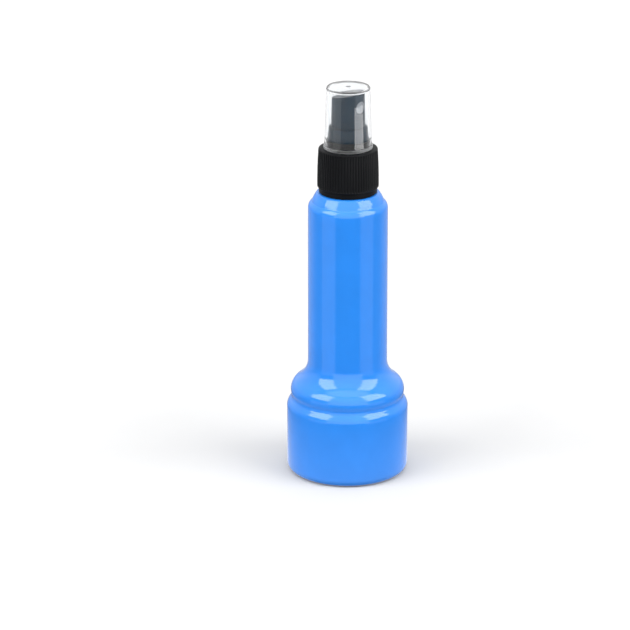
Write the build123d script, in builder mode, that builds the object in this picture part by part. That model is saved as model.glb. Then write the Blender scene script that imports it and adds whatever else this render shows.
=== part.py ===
"""Hand-held lens cleaning spray: a waisted bottle with a fine-mist pump under a clear hood.

Millimetres. The origin is the centre of the bottle's foot, +Z runs up the bottle's axis and the
nozzle faces -Y.
"""

import os
from math import asin, atan2, cos, degrees, hypot, radians, sin, sqrt

from build123d import *

# Bottle body, foot to barrel
wall = 1.0
foot_r = 22.9
foot_corner_r = 3.0
push_up = 3.0
stand_ring_inner_r = 17.0
foot_top_z = 25.2
foot_edge_r = 4.6
groove_r = 2.2
bulge_max_r = 21.47
bulge_z = 32.0
bulge_r = 5.2
flare_r = 9.2
barrel_r = 15.0

# Bottle shoulder: a soft rim, a step and a sloping crown with a flat landing round the neck
rim_z = 104.1
rim_r = 3.3
step_r = 0.5
crown_centre = (2.27, 102.8)
crown_r = 12.0
landing_z = 110.3
landing_edge_r = 1.3
neck_root_r = 0.6

# Neck finish, 20 mm continuous thread, 8 turns per inch
neck_r = 8.8
neck_bore_r = 7.2
lip_z = 123.6
lip_chamfer = 0.3
thread_pitch = 25.4 / 8
thread_turns = 1.5
thread_depth = 1.1
thread_start_z = 115.9
thread_sunk = 0.2
neck_thread_root_w = 2.2
neck_thread_crest_w = 0.9
closure_thread_root_w = 1.7
closure_thread_crest_w = 0.6
closure_thread_drop = 1.42

# Small gaps between pieces, and how far a cut runs past the wall it opens
face_gap = 0.02
running_gap = 0.04
cut_extra = 1.0

# Fill
fill_z = 92.0
fill_gap = 0.05
fill_tube_gap = 0.4

# Screw closure
closure_foot_z = 110.4
closure_foot_r = 10.95
skirt_low_z = 112.5
closure_wide_r = 11.51
closure_wide_z = 114.2
closure_curve_r = 190.0
closure_top_z = 127.0
closure_ledge = (11.0, 127.2)
deck_z = 127.6
deck_r = 9.6
closure_bore_r = 10.2
closure_bore_top_z = 126.3
closure_edge_chamfer = 0.25
rib_count = 66
rib_groove_r = 0.36
rib_groove_depth = 0.24
rib_low_z = 113.2
rib_high_z = 126.9
ring_outer_r = 8.3
ring_inner_r = 7.75
ring_top_z = 131.0
ring_lip_r = 0.2
floor_top_z = 126.6
floor_hole_r = 5.4

# Neck gasket and pump housing
gasket_t = 0.8
flange_r = 8.9
flange_t = 1.0
flange_side_gap = 0.2
housing_neck_r = 5.3
housing_neck_top_z = 127.8
seal_seat_r = 4.3
housing_upper_r = 4.7
housing_upper_low_z = 119.0
housing_taper_h = 1.0
chamber_outer_r = 4.3
chamber_r = 3.3
chamber_floor_z = 107.4
chamber_outer_low_z = 106.6
chamber_taper_h = 1.3
cage_outer_r = 3.0
cage_outer_low_z = 102.6
cage_taper_h = 0.7
cage_r = 1.9
cage_h = 3.75
ball_lip_r = 1.35
ball_lip_t = 0.6
ball_seat_hole_r = 1.05
socket_outer_r = 2.3
socket_bottom_z = 96.5
tube_stop_z = 102.4
lip_slot_w = 0.8
lip_slot_l = 1.0
vent_r = 0.4
vent_z = 120.4

# Dip tube, inlet ball and return spring
tube_r = 1.4
tube_bore_r = 0.9
tube_bottom_z = 5.2
tube_cut_angle = 30
ball_r = 1.5
spring_mean_r = 2.35
spring_wire_r = 0.25
spring_turns = 8

# Stem seal, collar, stem, spindle and piston
seal_t = 0.6
collar_r = 6.3
collar_top_z = 129.0
collar_bore_r = 2.9
collar_edge_r = 0.5
stem_r = 2.0
stem_bore_r = 1.0
stem_top_z = 139.2
stem_flange_r = 2.7
stem_flange_t = 0.9
stem_chamfer = 0.3
piston_slip = 0.85
piston_h = 3.4
piston_lip_h = 0.95
piston_taper_h = 0.3
piston_waist_r = 2.85
spindle_r = 1.5
spindle_bore_r = 0.5
spindle_plug_top_z = 125.6
spindle_head_r = 2.75
spindle_head_t = 1.0
spindle_guide_r = 1.3
spindle_guide_low_z = 114.4
spindle_tip_r = 0.9
spindle_tip_h = 0.6
spindle_port_r = 0.35
spindle_port_rise = 0.15

# Actuator
skirt_bottom_z = 130.6
skirt_bottom_r = 7.6
skirt_top_r = 7.2
skirt_top_z = 135.9
skirt_inner_r = 6.65
head_low_r = 6.3
head_low_z = 136.3
head_top_r = 6.05
head_block_z = 150.0
actuator_ceiling_z = 133.4
stem_boss_r = 3.2
core_outer_r = 5.2
core_top_z = 140.2
pad_back_z = 146.8
pad_front_z = 149.2
pad_edge_r = 0.45
pad_dish_r = 25.0
pad_dish_depth = 0.45
channel_r = 0.6

# Nozzle insert
nozzle_z = 144.0
nozzle_r = 2.35
nozzle_recess = 0.35
nozzle_h = 3.2
nozzle_pocket_y = 2.6
nozzle_face_t = 0.8
nozzle_post_r = 1.1
nozzle_post_gap = 0.3
feed_r = 0.5
orifice_r = 0.15
orifice_flare_r = 0.75
orifice_flare_depth = 0.5

# Clear overcap
overcap_top_z = 151.0
overcap_top_r = 8.15
overcap_low_r = 8.92
overcap_rim_r = 9.25
overcap_rim_h = 0.9
overcap_rim_taper_h = 0.3
overcap_top_t = 0.8
overcap_grip_r = ring_outer_r + 0.05
overcap_grip_top_z = 131.5
overcap_grip_taper_h = 0.3
overcap_inner_low_r = 8.1
overcap_inner_top_r = 7.4
overcap_edge_r = 0.5
gate_r = 0.9
gate_depth = 0.12

os.makedirs("parts", exist_ok=True)


def angle_to(start, end):
    """Direction from one (r, z) point to another, in degrees."""
    return degrees(atan2(end[1] - start[1], end[0] - start[0]))


def outer_touch(low, low_reach, high, high_reach):
    """Centre outside the wall that lies low_reach from one centre and high_reach from the other."""
    gap_r = high[0] - low[0]
    gap_z = high[1] - low[1]
    gap = hypot(gap_r, gap_z)
    along = (gap**2 + low_reach**2 - high_reach**2) / (2 * gap)
    across = sqrt(low_reach**2 - along**2)
    r = low[0] + (along * gap_r + across * gap_z) / gap
    z = low[1] + (along * gap_z - across * gap_r) / gap
    return (r, z)


def smooth_wall(circles, start_angle, end_angle, inset):
    """Arcs that touch one another going up a wall. side is 1 where it bulges, -1 where it hollows.

    After a circle with the same side, the next one is the smaller and touches it from inside.
    """
    angles = [start_angle]
    for low, high in zip(circles, circles[1:]):
        angles.append(angle_to(low[0], high[0]))
    angles.append(end_angle)
    for number, (centre, radius, side) in enumerate(circles):
        inner_touch = number > 0 and circles[number - 1][2] == side
        first = angles[number] if number == 0 or inner_touch else angles[number] + 180
        turn = (angles[number + 1] - first + 180) % 360 - 180
        CenterArc(centre, radius - side * inset, first, turn)


# Circles of the lower wall: foot edge, groove, bulge and the sweep into the barrel
foot_edge_centre = (foot_r - foot_edge_r, foot_top_z)
bulge_centre = (bulge_max_r - bulge_r, bulge_z)
groove_centre = outer_touch(
    foot_edge_centre, foot_edge_r + groove_r, bulge_centre, bulge_r + groove_r
)
flare_rise = sqrt((bulge_r + flare_r) ** 2 - (barrel_r + flare_r - bulge_centre[0]) ** 2)
flare_z = bulge_z + flare_rise
lower_circles = [
    (foot_edge_centre, foot_edge_r, 1),
    (groove_centre, groove_r, -1),
    (bulge_centre, bulge_r, 1),
    ((barrel_r + flare_r, flare_z), flare_r, -1),
]

# Circles of the shoulder: barrel rim, step, crown and the edge of the landing inside the crown
rim_centre = (barrel_r - rim_r, rim_z)
step_centre = outer_touch(rim_centre, rim_r + step_r, crown_centre, crown_r + step_r)
edge_rise = landing_z - landing_edge_r - crown_centre[1]
edge_run = sqrt((crown_r - landing_edge_r) ** 2 - edge_rise**2)
edge_centre = (crown_centre[0] + edge_run, crown_centre[1] + edge_rise)
shoulder_circles = [
    (rim_centre, rim_r, 1),
    (step_centre, step_r, -1),
    (crown_centre, crown_r, 1),
    (edge_centre, landing_edge_r, 1),
]
neck_root = (neck_r + neck_root_r, landing_z + neck_root_r)

# The foot is pushed up in a shallow dome inside the ring it stands on
dome_r = (stand_ring_inner_r**2 + push_up**2) / (2 * push_up)
dome_centre_z = push_up - dome_r


def lower_outline(inset):
    """Half section from the middle of the foot to the start of the barrel, moved in by inset."""
    dome = dome_r + inset
    ring_in = sqrt(dome**2 - (inset - dome_centre_z) ** 2)
    ring_angle = degrees(atan2(inset - dome_centre_z, ring_in))
    corner = (foot_r - foot_corner_r, foot_corner_r)
    CenterArc((0, dome_centre_z), dome, 90, ring_angle - 90)
    Line((ring_in, inset), (corner[0], inset))
    CenterArc(corner, foot_corner_r - inset, -90, 90)
    Line((foot_r - inset, foot_corner_r), (foot_r - inset, foot_top_z))
    smooth_wall(lower_circles, 0, 180, inset)


def ridge_section(crest_step, root_step, root_w, crest_w):
    """Thread section: x runs out from the axis and y runs along it."""
    Polyline(
        (root_step, -root_w / 2),
        (crest_step, -crest_w / 2),
        (crest_step, crest_w / 2),
        (root_step, root_w / 2),
        close=True,
    )


def thread_ridge(root_r, crest_r, root_w, crest_w, start_z):
    """Right-hand helical ridge whose root is sunk a little into its wall."""
    outward = 1 if crest_r > root_r else -1
    flank_slope = (root_w - crest_w) / abs(crest_r - root_r)
    with BuildPart() as ridge:
        with BuildLine() as path:
            Helix(thread_pitch, thread_pitch * thread_turns, root_r, center=(0, 0, start_z))
        start = path.line @ 0
        with BuildSketch(Plane(origin=start, x_dir=(1, 0, 0), z_dir=path.line % 0)):
            with BuildLine():
                ridge_section(
                    crest_r - root_r,
                    -outward * thread_sunk,
                    root_w + flank_slope * thread_sunk,
                    crest_w,
                )
            make_face()
        sweep(path=path.line, is_frenet=True)
    return ridge.part


neck_thread = thread_ridge(
    neck_r, neck_r + thread_depth, neck_thread_root_w, neck_thread_crest_w, thread_start_z
)
closure_thread = thread_ridge(
    closure_bore_r,
    closure_bore_r - thread_depth,
    closure_thread_root_w,
    closure_thread_crest_w,
    thread_start_z - closure_thread_drop,
)

# Bottle: one blow-moulded shell
with BuildPart() as bottle:
    with BuildSketch(Plane.XZ):
        with BuildLine():
            lower_outline(0)
            Line((barrel_r, flare_z), (barrel_r, rim_z))
            smooth_wall(shoulder_circles, 0, 90, 0)
            Line((edge_centre[0], landing_z), (neck_root[0], landing_z))
            CenterArc(neck_root, neck_root_r, -90, -90)
            Polyline(
                (neck_r, neck_root[1]),
                (neck_r, lip_z - lip_chamfer),
                (neck_r - lip_chamfer, lip_z),
                (neck_bore_r, lip_z),
                (neck_bore_r, landing_z - wall),
                (edge_centre[0], landing_z - wall),
            )
            smooth_wall(shoulder_circles, 0, 90, wall)
            Line((barrel_r - wall, flare_z), (barrel_r - wall, rim_z))
            lower_outline(wall)
            Line((0, push_up), (0, push_up + wall))
        make_face()
    revolve(axis=Axis.Z)
    add(neck_thread)
bottle.part.label = "bottle"

# Cleaning fluid: the fill as one closed body, with a clear way down for the dip tube
with BuildPart() as cleaning_fluid:
    fill_inset = wall + fill_gap
    with BuildSketch(Plane.XZ):
        with BuildLine():
            lower_outline(fill_inset)
            Polyline(
                (barrel_r - fill_inset, flare_z),
                (barrel_r - fill_inset, fill_z),
                (tube_r + fill_tube_gap, fill_z),
                (tube_r + fill_tube_gap, tube_bottom_z - fill_tube_gap),
                (0, tube_bottom_z - fill_tube_gap),
                (0, push_up + fill_inset),
            )
        make_face()
    revolve(axis=Axis.Z)
cleaning_fluid.part.label = "cleaning_fluid"

# Neck gasket: flat ring squeezed between the lip and the pump flange
gasket_bottom_z = lip_z + face_gap
flange_bottom_z = lip_z + gasket_t
flange_top_z = flange_bottom_z + flange_t
with BuildPart() as neck_gasket:
    with BuildSketch(Plane.XY.offset(gasket_bottom_z)):
        Circle(flange_r)
        Circle(housing_upper_r, mode=Mode.SUBTRACT)
    extrude(amount=flange_bottom_z - gasket_bottom_z)
neck_gasket.part.label = "neck_gasket"

# Pump housing: flange, snap neck, chamber, ball cage and tube socket
seal_seat_z = lip_z
cage_top_z = chamber_floor_z - ball_lip_t
ball_seat_apex_z = cage_top_z - cage_h
with BuildPart() as pump_housing:
    with BuildSketch(Plane.XZ):
        with BuildLine():
            Polyline(
                (seal_seat_r, housing_neck_top_z),
                (housing_neck_r, housing_neck_top_z),
                (housing_neck_r, flange_top_z),
                (flange_r, flange_top_z),
                (flange_r, flange_bottom_z),
                (housing_upper_r, flange_bottom_z),
                (housing_upper_r, housing_upper_low_z),
                (chamber_outer_r, housing_upper_low_z - housing_taper_h),
                (chamber_outer_r, chamber_outer_low_z),
                (cage_outer_r, chamber_outer_low_z - chamber_taper_h),
                (cage_outer_r, cage_outer_low_z),
                (socket_outer_r, cage_outer_low_z - cage_taper_h),
                (socket_outer_r, socket_bottom_z),
                (tube_r, socket_bottom_z),
                (tube_r, tube_stop_z),
                (ball_seat_hole_r, tube_stop_z),
                (ball_seat_hole_r, ball_seat_apex_z + ball_seat_hole_r),
                (cage_r, ball_seat_apex_z + cage_r),
                (cage_r, cage_top_z),
                (ball_lip_r, cage_top_z),
                (ball_lip_r, chamber_floor_z),
                (chamber_r, chamber_floor_z),
                (chamber_r, seal_seat_z),
                (seal_seat_r, seal_seat_z),
                close=True,
            )
        make_face()
    revolve(axis=Axis.Z)
    # Three flow slots through the lip that keeps the ball in its cage
    with BuildSketch(Plane.XY.offset(cage_top_z)):
        with PolarLocations(ball_lip_r, 3):
            Rectangle(lip_slot_l, lip_slot_w)
    extrude(amount=ball_lip_t, mode=Mode.SUBTRACT)
    # Air vent into the neck, behind the piston at rest
    with BuildSketch(Plane.XZ):
        with Locations((0, vent_z)):
            Circle(vent_r)
    extrude(amount=housing_upper_r + cut_extra, mode=Mode.SUBTRACT)
pump_housing.part.label = "pump_housing"

# Dip tube: cut at a slant where it meets the foot
with BuildPart() as dip_tube:
    with BuildSketch(Plane.XY.offset(tube_bottom_z)):
        Circle(tube_r)
        Circle(tube_bore_r, mode=Mode.SUBTRACT)
    extrude(amount=tube_stop_z - tube_bottom_z)
    cut_plane = Plane.XY.rotated((tube_cut_angle, 0, 0)).move(
        Location((0, 0, tube_bottom_z + tube_r * sin(radians(tube_cut_angle))))
    )
    split(bisect_by=cut_plane, keep=Keep.TOP)
dip_tube.part.label = "dip_tube"

# Inlet ball, resting on its conical seat
ball_centre_z = ball_seat_apex_z + (ball_r + face_gap) * sqrt(2)
with BuildPart() as inlet_ball:
    with Locations((0, 0, ball_centre_z)):
        Sphere(ball_r)
inlet_ball.part.label = "inlet_ball"

# Heights of the moving column, from the seal down
stem_flange_top_z = seal_seat_z - face_gap
stem_flange_low_z = stem_flange_top_z - stem_flange_t
piston_top_z = stem_flange_low_z - piston_slip
piston_low_z = piston_top_z - piston_h
spindle_head_top_z = piston_low_z - face_gap
spindle_head_low_z = spindle_head_top_z - spindle_head_t

# Return spring: round wire between the chamber floor and the spindle head
spring_low_z = chamber_floor_z + face_gap + spring_wire_r
spring_high_z = spindle_head_low_z - face_gap - spring_wire_r
spring_rise = spring_high_z - spring_low_z
with BuildPart() as return_spring:
    with BuildLine() as coil:
        Helix(spring_rise / spring_turns, spring_rise, spring_mean_r, center=(0, 0, spring_low_z))
    with BuildSketch(Plane(origin=coil.line @ 0, z_dir=coil.line % 0)):
        Circle(spring_wire_r)
    sweep(path=coil.line, is_frenet=True)
return_spring.part.label = "return_spring"

# Stem seal: soft washer under the collar
collar_plug_low_z = seal_seat_z + seal_t
with BuildPart() as stem_seal:
    with BuildSketch(Plane.XY.offset(seal_seat_z)):
        Circle(seal_seat_r)
        Circle(stem_r + running_gap, mode=Mode.SUBTRACT)
    extrude(amount=seal_t)
stem_seal.part.label = "stem_seal"

# Housing collar: snaps over the housing neck and keeps the closure turning on it
collar_skirt_low_z = floor_top_z + face_gap
with BuildPart() as housing_collar:
    with BuildSketch(Plane.XZ):
        with BuildLine():
            Polyline(
                (stem_r + running_gap, collar_top_z),
                (collar_r, collar_top_z),
                (collar_r, collar_skirt_low_z),
                (housing_neck_r, collar_skirt_low_z),
                (housing_neck_r, housing_neck_top_z),
                (seal_seat_r, housing_neck_top_z),
                (seal_seat_r, collar_plug_low_z),
                (collar_bore_r, collar_plug_low_z),
                (collar_bore_r, housing_neck_top_z),
                (stem_r + running_gap, housing_neck_top_z),
                close=True,
            )
        make_face()
    revolve(axis=Axis.Z)
    fillet(housing_collar.edges().group_by(Axis.Z)[-1].sort_by(SortBy.RADIUS)[-1], collar_edge_r)
housing_collar.part.label = "housing_collar"

# Stem: hollow tube with the flange that stops it under the seal
with BuildPart() as stem:
    with BuildSketch(Plane.XY.offset(stem_flange_low_z)):
        Circle(stem_flange_r)
    extrude(amount=stem_flange_t)
    with BuildSketch(Plane.XY.offset(stem_flange_top_z)):
        Circle(stem_r)
    extrude(amount=stem_top_z - stem_flange_top_z)
    with BuildSketch(Plane.XY.offset(stem_flange_low_z)):
        Circle(stem_bore_r)
    extrude(amount=stem_top_z - stem_flange_low_z, mode=Mode.SUBTRACT)
    chamfer(stem.edges().group_by(Axis.Z)[-1].sort_by(SortBy.RADIUS)[-1], stem_chamfer)
stem.part.label = "stem"

# Spindle: plugs into the stem, carries the piston and centres the spring
spindle_port_z = spindle_head_top_z + spindle_port_r + spindle_port_rise
with BuildPart() as spindle:
    with BuildSketch(Plane.XZ):
        with BuildLine():
            Polyline(
                (0, spindle_guide_low_z),
                (spindle_tip_r, spindle_guide_low_z),
                (spindle_guide_r, spindle_guide_low_z + spindle_tip_h),
                (spindle_guide_r, spindle_head_low_z),
                (spindle_head_r, spindle_head_low_z),
                (spindle_head_r, spindle_head_top_z),
                (spindle_r, spindle_head_top_z),
                (spindle_r, stem_flange_low_z),
                (stem_bore_r, stem_flange_low_z),
                (stem_bore_r, spindle_plug_top_z),
                (spindle_bore_r, spindle_plug_top_z),
                (spindle_bore_r, spindle_port_z),
                (0, spindle_port_z),
                close=True,
            )
        make_face()
    revolve(axis=Axis.Z)
    with BuildSketch(Plane.YZ):
        with Locations((0, spindle_port_z)):
            Circle(spindle_port_r)
    extrude(amount=spindle_r + cut_extra, both=True, mode=Mode.SUBTRACT)
spindle.part.label = "spindle"

# Piston: two sealing lips on a sleeve that slides on the spindle
piston_lip_r = chamber_r - running_gap
with BuildPart() as piston:
    with BuildSketch(Plane.XZ):
        with BuildLine():
            Polyline(
                (spindle_r + running_gap, piston_low_z),
                (piston_lip_r, piston_low_z),
                (piston_lip_r, piston_low_z + piston_lip_h),
                (piston_waist_r, piston_low_z + piston_lip_h + piston_taper_h),
                (piston_waist_r, piston_top_z - piston_lip_h - piston_taper_h),
                (piston_lip_r, piston_top_z - piston_lip_h),
                (piston_lip_r, piston_top_z),
                (spindle_r + running_gap, piston_top_z),
                close=True,
            )
        make_face()
    revolve(axis=Axis.Z)
piston.part.label = "piston"

# Screw closure: ribbed skirt, deck, hood ring and a sunken floor
deck_curve_r = ((closure_ledge[0] - deck_r) ** 2 + (deck_z - closure_ledge[1]) ** 2) / (
    2 * (deck_z - closure_ledge[1])
)
deck_centre = (deck_r, deck_z - deck_curve_r)
ledge_angle = angle_to(deck_centre, closure_ledge)


# The skirt's wall is widest near its foot and curves in very gently above
skirt_centre = (closure_wide_r - closure_curve_r, closure_wide_z)


def skirt_angle(z):
    """Angle, in degrees, at which the skirt's arc reaches height z."""
    return degrees(asin((z - closure_wide_z) / closure_curve_r))


def skirt_r(z):
    """Radius of the skirt at height z."""
    return skirt_centre[0] + closure_curve_r * cos(radians(skirt_angle(z)))


# Round bar that follows the skirt, partly sunk in it, and cuts the groove between two ribs
with BuildPart() as rib_groove:
    with BuildLine(Plane.XZ) as groove_path:
        CenterArc(
            skirt_centre,
            closure_curve_r + rib_groove_r - rib_groove_depth,
            skirt_angle(rib_low_z),
            skirt_angle(rib_high_z) - skirt_angle(rib_low_z),
        )
    with BuildSketch(groove_path.line ^ 0):
        Circle(rib_groove_r)
    sweep(path=groove_path.line)

skirt_foot_z = skirt_low_z + closure_edge_chamfer
skirt_foot_r = skirt_r(skirt_foot_z)
with BuildPart() as screw_closure:
    with BuildSketch(Plane.XZ):
        with BuildLine():
            Polyline(
                (closure_bore_r, closure_foot_z),
                (closure_foot_r - closure_edge_chamfer, closure_foot_z),
                (closure_foot_r, closure_foot_z + closure_edge_chamfer),
                (closure_foot_r, skirt_low_z),
                (skirt_foot_r - closure_edge_chamfer, skirt_low_z),
                (skirt_foot_r, skirt_foot_z),
            )
            CenterArc(
                skirt_centre,
                closure_curve_r,
                skirt_angle(skirt_foot_z),
                skirt_angle(closure_top_z) - skirt_angle(skirt_foot_z),
            )
            Line((skirt_r(closure_top_z), closure_top_z), closure_ledge)
            CenterArc(deck_centre, deck_curve_r, ledge_angle, 90 - ledge_angle)
            Polyline(
                (deck_r, deck_z),
                (ring_outer_r, deck_z),
                (ring_outer_r, ring_top_z - ring_lip_r),
                (ring_outer_r - ring_lip_r, ring_top_z),
                (ring_inner_r, ring_top_z),
                (ring_inner_r, floor_top_z),
                (floor_hole_r, floor_top_z),
                (floor_hole_r, flange_top_z + face_gap),
                (flange_r + flange_side_gap, flange_top_z + face_gap),
                (flange_r + flange_side_gap, closure_bore_top_z),
                (closure_bore_r, closure_bore_top_z),
                (closure_bore_r, closure_foot_z),
            )
        make_face()
    revolve(axis=Axis.Z)
    with PolarLocations(0, rib_count):
        add(rib_groove.part, mode=Mode.SUBTRACT)
    add(closure_thread)
screw_closure.part.label = "screw_closure"

# Actuator: skirt, head with a sloping finger pad and its dish, stem socket and nozzle pocket
head_draft = (head_low_r - head_top_r) / (overcap_top_z - head_low_z)
nozzle_front_r = head_low_r - head_draft * (nozzle_z - head_low_z)
nozzle_face_y = nozzle_front_r - nozzle_recess
pad_middle_z = (pad_back_z + pad_front_z) / 2
pad_slope = (pad_front_z - pad_back_z) / (2 * head_top_r)
pad_lean = atan2(pad_slope, 1)
pad_cut_reach = head_low_r + cut_extra
dish_lift = pad_dish_r - pad_dish_depth
channel_top_z = nozzle_z - nozzle_post_r - feed_r
socket_r = stem_r + running_gap
with BuildPart() as actuator:
    with BuildSketch(Plane.XZ):
        with BuildLine():
            Polyline(
                (skirt_inner_r, skirt_bottom_z),
                (skirt_bottom_r, skirt_bottom_z),
                (skirt_top_r, skirt_top_z),
                (head_low_r, head_low_z),
                (head_top_r, head_block_z),
                (0, head_block_z),
                (0, stem_top_z + face_gap),
                (socket_r, stem_top_z + face_gap),
                (socket_r, actuator_ceiling_z),
                (stem_boss_r, actuator_ceiling_z),
                (stem_boss_r, core_top_z),
                (core_outer_r, core_top_z),
                (core_outer_r, actuator_ceiling_z),
                (skirt_inner_r, actuator_ceiling_z),
                close=True,
            )
        make_face()
    revolve(axis=Axis.Z)
    with BuildSketch(Plane.YZ):
        with BuildLine():
            Polyline(
                (-pad_cut_reach, pad_middle_z + pad_slope * pad_cut_reach),
                (pad_cut_reach, pad_middle_z - pad_slope * pad_cut_reach),
                (pad_cut_reach, head_block_z + cut_extra),
                (-pad_cut_reach, head_block_z + cut_extra),
                close=True,
            )
        make_face()
    extrude(amount=pad_cut_reach, both=True, mode=Mode.SUBTRACT)
    fillet(actuator.edges().sort_by(Axis.Z)[-1], pad_edge_r)
    with Locations((0, dish_lift * sin(pad_lean), pad_middle_z + dish_lift * cos(pad_lean))):
        Sphere(pad_dish_r, mode=Mode.SUBTRACT)
    with BuildSketch(Plane.XZ.offset(nozzle_pocket_y)):
        with Locations((0, nozzle_z)):
            Circle(nozzle_r)
            Circle(nozzle_post_r, mode=Mode.SUBTRACT)
    extrude(amount=head_low_r, mode=Mode.SUBTRACT)
    post_face_y = nozzle_face_y - nozzle_face_t - nozzle_post_gap
    with BuildSketch(Plane.XZ.offset(post_face_y)):
        with Locations((0, nozzle_z)):
            Circle(nozzle_r)
    extrude(amount=head_low_r, mode=Mode.SUBTRACT)
    with BuildSketch(Plane.XY.offset(stem_top_z)):
        Circle(channel_r)
    extrude(amount=channel_top_z + feed_r - stem_top_z, mode=Mode.SUBTRACT)
    with BuildSketch(Plane.XZ):
        with Locations((0, channel_top_z)):
            Circle(feed_r)
    extrude(amount=nozzle_pocket_y, mode=Mode.SUBTRACT)
actuator.part.label = "actuator"

# Nozzle insert: a cup pressed over the actuator's post, with a flared spray orifice
with BuildPart() as nozzle_insert:
    with BuildSketch(Plane.XZ.offset(nozzle_face_y)):
        with Locations((0, nozzle_z)):
            Circle(nozzle_r)
    extrude(amount=-nozzle_h)
    with BuildSketch(Plane.XZ.offset(nozzle_face_y - nozzle_face_t)):
        with Locations((0, nozzle_z)):
            Circle(nozzle_post_r)
    extrude(amount=-nozzle_h, mode=Mode.SUBTRACT)
    with BuildSketch(Plane.XZ.offset(nozzle_face_y)):
        with Locations((0, nozzle_z)):
            Circle(orifice_r)
    extrude(amount=-nozzle_h, mode=Mode.SUBTRACT)
    with BuildSketch(Plane.XZ.offset(nozzle_face_y)):
        with Locations((0, nozzle_z)):
            Circle(orifice_flare_r)
    with BuildSketch(Plane.XZ.offset(nozzle_face_y - orifice_flare_depth)):
        with Locations((0, nozzle_z)):
            Circle(orifice_r)
    loft(mode=Mode.SUBTRACT)
nozzle_insert.part.label = "nozzle_insert"

# Overcap: clear hood that pushes over the closure's ring
overcap_bottom_z = deck_z + face_gap
with BuildPart() as overcap:
    with BuildSketch(Plane.XZ):
        with BuildLine():
            Polyline(
                (overcap_grip_r, overcap_bottom_z),
                (overcap_rim_r, overcap_bottom_z),
                (overcap_rim_r, overcap_bottom_z + overcap_rim_h),
                (overcap_low_r, overcap_bottom_z + overcap_rim_h + overcap_rim_taper_h),
                (overcap_top_r, overcap_top_z),
                (0, overcap_top_z),
                (0, overcap_top_z - overcap_top_t),
                (overcap_inner_top_r, overcap_top_z - overcap_top_t),
                (overcap_inner_low_r, overcap_grip_top_z + overcap_grip_taper_h),
                (overcap_grip_r, overcap_grip_top_z),
                close=True,
            )
        make_face()
    revolve(axis=Axis.Z)
    fillet(overcap.edges().group_by(Axis.Z)[-1], overcap_edge_r)
    with BuildSketch(Plane.XY.offset(overcap_top_z - gate_depth)):
        Circle(gate_r)
    extrude(amount=gate_depth, mode=Mode.SUBTRACT)
overcap.part.label = "overcap"

export_step(bottle.part, "parts/bottle.step")
export_step(cleaning_fluid.part, "parts/cleaning_fluid.step")
export_step(neck_gasket.part, "parts/neck_gasket.step")
export_step(pump_housing.part, "parts/pump_housing.step")
export_step(dip_tube.part, "parts/dip_tube.step")
export_step(inlet_ball.part, "parts/inlet_ball.step")
export_step(return_spring.part, "parts/return_spring.step")
export_step(stem_seal.part, "parts/stem_seal.step")
export_step(housing_collar.part, "parts/housing_collar.step")
export_step(stem.part, "parts/stem.step")
export_step(spindle.part, "parts/spindle.step")
export_step(piston.part, "parts/piston.step")
export_step(screw_closure.part, "parts/screw_closure.step")
export_step(actuator.part, "parts/actuator.step")
export_step(nozzle_insert.part, "parts/nozzle_insert.step")
export_step(overcap.part, "parts/overcap.step")
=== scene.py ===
"""Lens cleaning spray: a waisted blue bottle with a ribbed fine-mist pump under a clear hood."""

import bpy
import numpy as np
from math import atan2, cos, degrees, hypot, pi, radians, sin, sqrt, tan
from mathutils import Matrix, Vector


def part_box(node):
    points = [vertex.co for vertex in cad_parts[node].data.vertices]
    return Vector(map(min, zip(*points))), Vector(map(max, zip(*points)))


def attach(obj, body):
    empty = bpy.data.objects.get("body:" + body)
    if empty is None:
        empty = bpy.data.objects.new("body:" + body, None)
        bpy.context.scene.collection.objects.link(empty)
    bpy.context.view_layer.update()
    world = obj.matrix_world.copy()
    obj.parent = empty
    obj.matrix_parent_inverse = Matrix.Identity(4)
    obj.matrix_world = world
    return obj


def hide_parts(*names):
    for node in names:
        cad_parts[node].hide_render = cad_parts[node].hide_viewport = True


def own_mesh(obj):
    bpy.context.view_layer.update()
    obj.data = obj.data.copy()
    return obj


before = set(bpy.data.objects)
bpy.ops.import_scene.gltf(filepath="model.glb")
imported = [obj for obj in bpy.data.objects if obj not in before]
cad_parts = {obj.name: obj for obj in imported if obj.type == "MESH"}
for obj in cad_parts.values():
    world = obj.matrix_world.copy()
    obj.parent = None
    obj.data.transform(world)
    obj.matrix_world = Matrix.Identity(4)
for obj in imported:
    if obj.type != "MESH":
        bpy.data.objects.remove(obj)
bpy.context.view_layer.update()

MM = 0.001
scene = bpy.context.scene

# ---------------------------------------------------------------------------------------------
# Camera: the photograph's viewing angle. The bottle stands a little to the right of the middle.
# ---------------------------------------------------------------------------------------------
CAMERA_AZIMUTH = radians(-50.0)
CAMERA_REACH = 1.47442
CAMERA_HEIGHT = 0.58674
CAMERA_PITCH = radians(19.6158)
CAMERA_YAW = radians(0.478)
SENSOR_WIDTH = 36.0
CAMERA_LENS = 237.14


def make_camera():
    data = bpy.data.cameras.new("camera")
    data.sensor_width = SENSOR_WIDTH
    data.lens = CAMERA_LENS
    data.clip_start = 0.05
    data.clip_end = 20.0
    camera = bpy.data.objects.new("camera", data)
    scene.collection.objects.link(camera)
    camera.location = (
        CAMERA_REACH * sin(CAMERA_AZIMUTH),
        -CAMERA_REACH * cos(CAMERA_AZIMUTH),
        CAMERA_HEIGHT,
    )
    camera.rotation_euler = (pi / 2 - CAMERA_PITCH, 0, CAMERA_AZIMUTH + CAMERA_YAW)
    scene.camera = camera


make_camera()

# ---------------------------------------------------------------------------------------------
# Outlines: half sections as lists of (r, z) points in millimetres
# ---------------------------------------------------------------------------------------------
ARC_STEP = 6.0


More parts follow.
